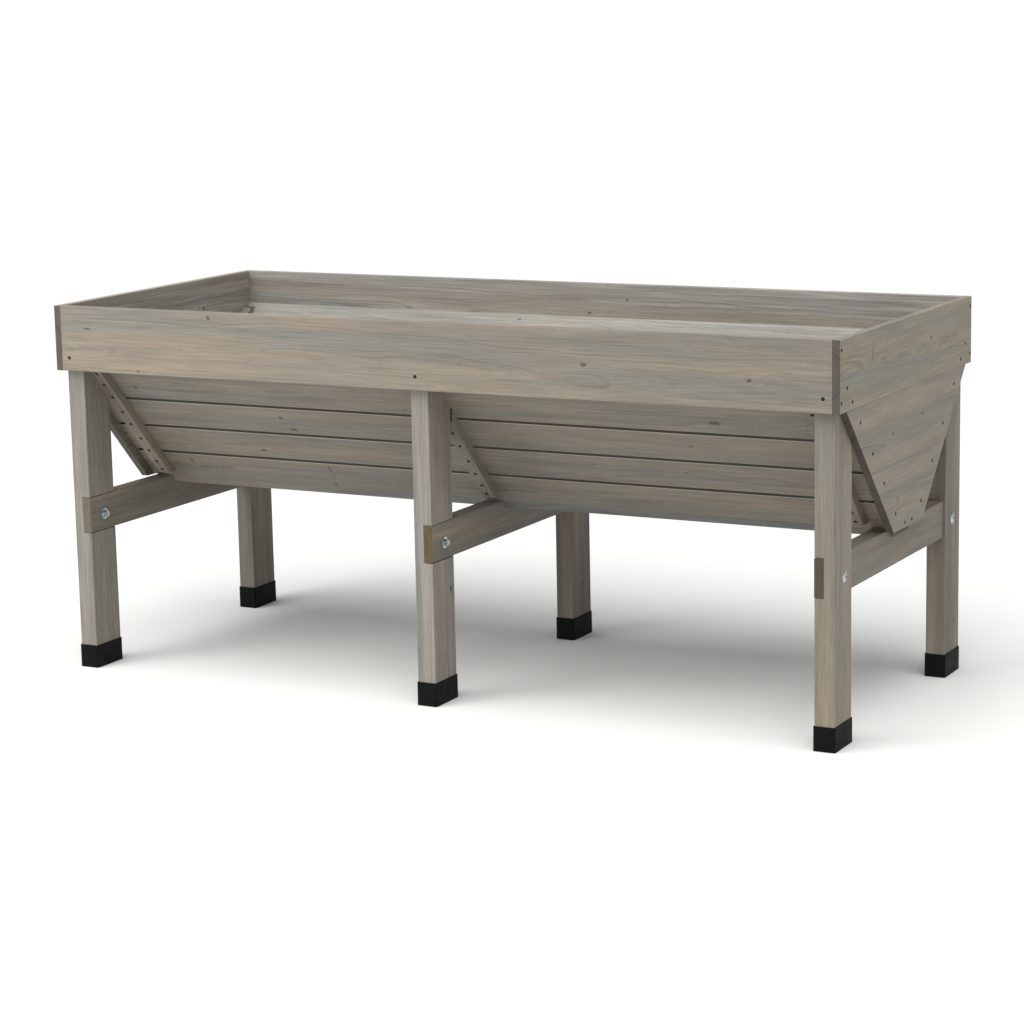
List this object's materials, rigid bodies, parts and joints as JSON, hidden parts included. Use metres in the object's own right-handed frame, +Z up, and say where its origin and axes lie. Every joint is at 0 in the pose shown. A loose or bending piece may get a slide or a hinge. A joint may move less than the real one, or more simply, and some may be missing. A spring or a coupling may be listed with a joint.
{
  "type": "raised planter on legs",
  "caption": "Rectangular raised planter with a V-shaped slatted trough under a deep board rim, on bolted leg frames with plastic boots.",
  "frame": {"origin": "on the ground under the middle of the rim", "axes": "+X along the length to the right, -Y the front, +Z up"},
  "size_m": [1.8, 0.76, 0.8],
  "materials": {
    "greywashed_fir": "planed softwood with a thin grey wash",
    "boot_plastic": "moulded, matte black",
    "zinc_steel": "bright zinc plated",
    "screw_steel": "dark coated countersunk screws"
  },
  "bodies": {
    "root": {"batten_back_left": "greywashed_fir", "batten_back_middle": "greywashed_fir", "batten_back_right": "greywashed_fir", "batten_front_left": "greywashed_fir", "batten_front_middle": "greywashed_fir", "batten_front_right": "greywashed_fir", "batten_screws": "screw_steel", "boot_left_back": "boot_plastic", "boot_left_front": "boot_plastic", "boot_middle_back": "boot_plastic", "boot_middle_front": "boot_plastic", "boot_right_back": "boot_plastic", "boot_right_front": "boot_plastic", "corner_screws": "screw_steel", "crossbeam_left": "greywashed_fir", "crossbeam_middle": "greywashed_fir", "crossbeam_right": "greywashed_fir", "end_board_left_lower": "greywashed_fir", "end_board_left_upper": "greywashed_fir", "end_board_right_lower": "greywashed_fir", "end_board_right_upper": "greywashed_fir", "end_cleat_left_back": "greywashed_fir", "end_cleat_left_front": "greywashed_fir", "end_cleat_right_back": "greywashed_fir", "end_cleat_right_front": "greywashed_fir", "end_panel_screws": "screw_steel", "floor_board": "greywashed_fir", "floor_screws": "screw_steel", "foot_cleat_left": "greywashed_fir", "foot_cleat_right": "greywashed_fir", "frame_bolts": "zinc_steel", "frame_nuts": "zinc_steel", "frame_washers": "zinc_steel", "leg_left_back": "greywashed_fir", "leg_left_front": "greywashed_fir", "leg_middle_back": "greywashed_fir", "leg_middle_front": "greywashed_fir", "leg_right_back": "greywashed_fir", "leg_right_front": "greywashed_fir", "middle_leg_screws": "screw_steel", "rail_back": "greywashed_fir", "rail_end_left": "greywashed_fir", "rail_end_right": "greywashed_fir", "rail_front": "greywashed_fir", "rail_screws": "screw_steel", "side_leg_screws": "screw_steel", "slat_back_1": "greywashed_fir", "slat_back_2": "greywashed_fir", "slat_back_3": "greywashed_fir", "slat_back_4": "greywashed_fir", "slat_back_5": "greywashed_fir", "slat_front_1": "greywashed_fir", "slat_front_2": "greywashed_fir", "slat_front_3": "greywashed_fir", "slat_front_4": "greywashed_fir", "slat_front_5": "greywashed_fir"}
  },
  "joints": []
}
